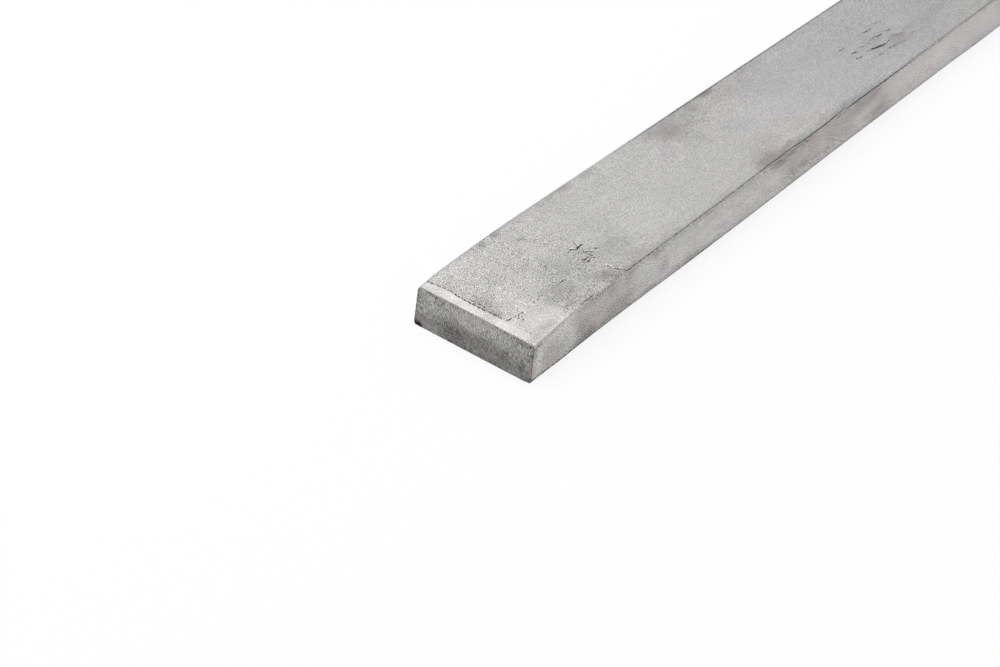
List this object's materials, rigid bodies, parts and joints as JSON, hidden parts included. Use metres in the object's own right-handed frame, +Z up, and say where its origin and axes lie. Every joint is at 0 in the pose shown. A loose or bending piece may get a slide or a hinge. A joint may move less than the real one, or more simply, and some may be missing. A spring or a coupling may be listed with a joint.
{
  "type": "metal flat bar",
  "caption": "Hot-rolled, pickled steel flat bar with rounded long edges and sheared ends, lying flat.",
  "frame": {"origin": "middle of the face that the bar lies on", "axes": "+X along the length, away from the end whose upper face is rolled over; +Y across the width; +Z up through the thickness"},
  "size_m": [0.5, 0.03, 0.01],
  "materials": {
    "pickled_steel": "matte grey, pickled, fine grained"
  },
  "bodies": {
    "root": {"flat_bar": "pickled_steel"}
  },
  "joints": []
}
